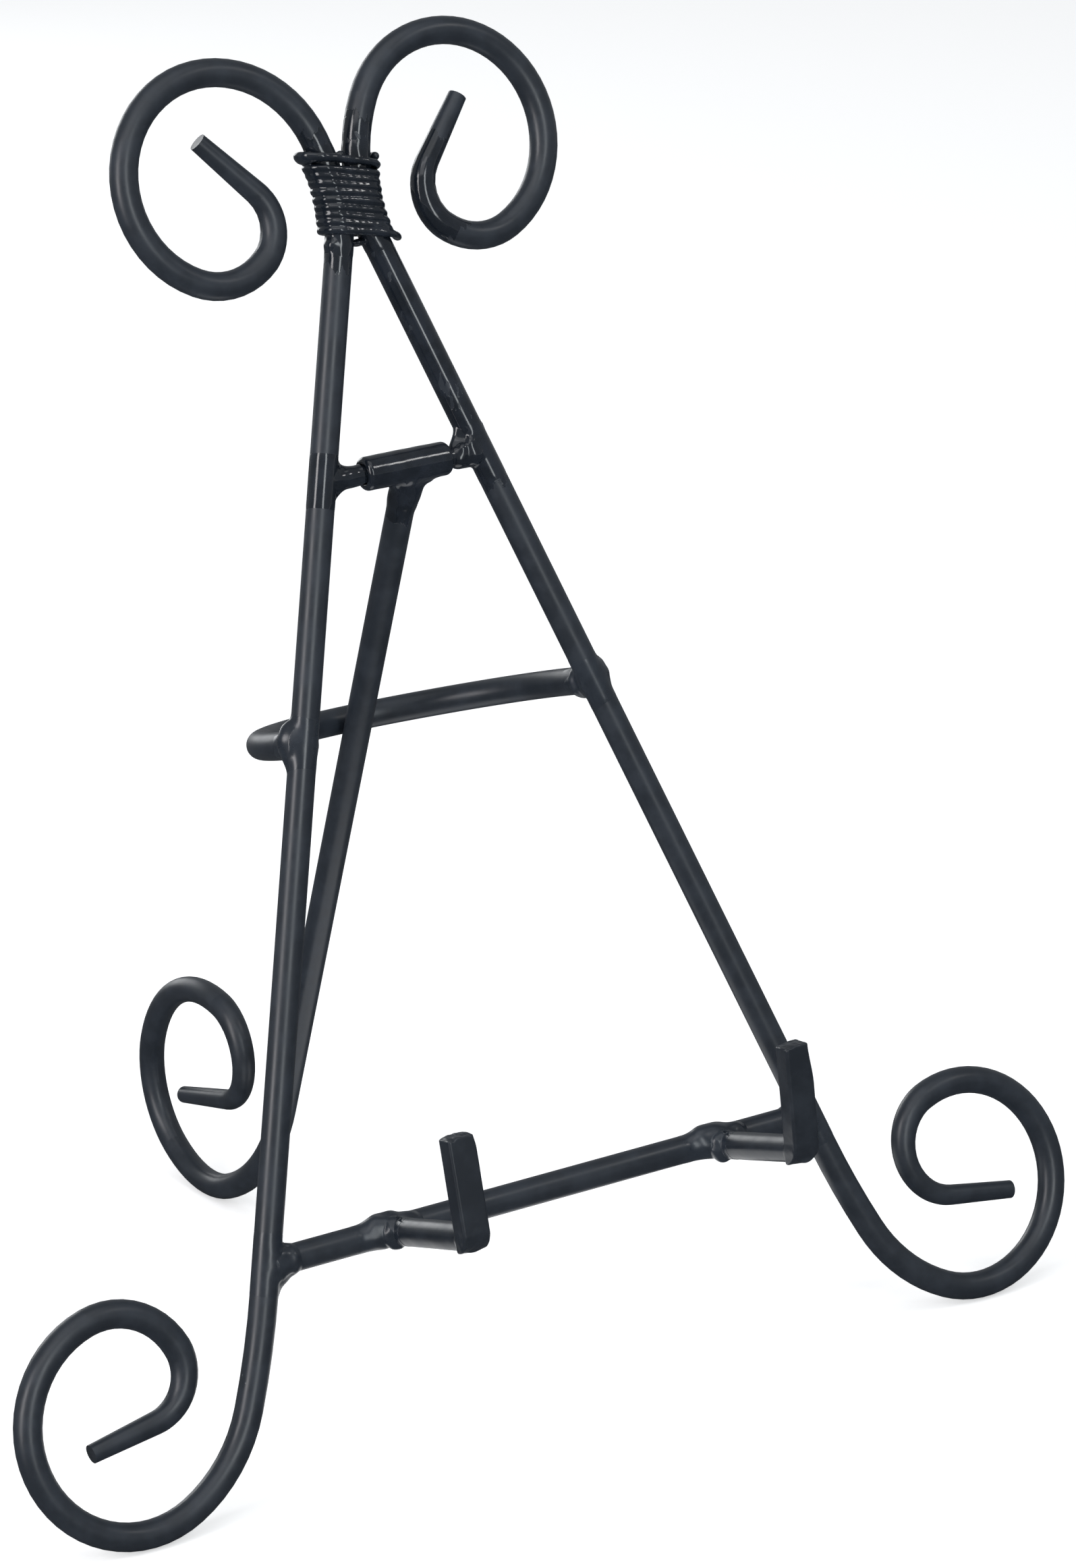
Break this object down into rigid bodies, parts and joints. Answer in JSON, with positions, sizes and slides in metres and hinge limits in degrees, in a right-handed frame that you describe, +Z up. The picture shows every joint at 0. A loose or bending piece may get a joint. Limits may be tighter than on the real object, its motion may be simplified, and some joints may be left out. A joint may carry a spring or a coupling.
{
  "type": "plate display stand",
  "caption": "Folding tabletop plate stand of bent round bar: a scrolled A-frame that leans back, two upturned hooks on a crossbar and a hinged rear leg held by a stop bow.",
  "frame": {"origin": "centre of the stand's footprint on the table, at table height", "axes": "+Z up, -Y towards the front where the plate faces, +X to the right seen from the front"},
  "size_m": [0.2607, 0.2219, 0.288],
  "materials": {
    "powder_coat": "satin blue-black powder coat with a fine orange peel",
    "gloss_lacquer": "gloss black touch-up lacquer, brushed on with runs and ragged edges"
  },
  "bodies": {
    "frame": {"left_side_rod": "powder_coat", "right_side_rod": "powder_coat", "binding_wire": "gloss_lacquer", "crossbar": "powder_coat", "crossbar_weld_left": "powder_coat", "crossbar_weld_right": "powder_coat", "left_hook": "powder_coat", "right_hook": "powder_coat", "hook_weld_left": "powder_coat", "hook_weld_right": "powder_coat", "hinge_pin": "gloss_lacquer", "hinge_pin_weld_left": "gloss_lacquer", "hinge_pin_weld_right": "gloss_lacquer", "stop_bow": "powder_coat", "stop_bow_weld_left": "powder_coat", "stop_bow_weld_right": "powder_coat"},
    "rear_leg": {"hinge_sleeve": "gloss_lacquer", "back_leg": "powder_coat", "back_leg_weld": "gloss_lacquer"}
  },
  "joints": [
    {"name": "rear_leg_fold", "type": "hinge", "parent": "frame", "child": "rear_leg", "pos_m": [0, -0.03685, 0.19895], "axis": [-1, 0, 0], "range_deg": [0, 37.5]}
  ]
}
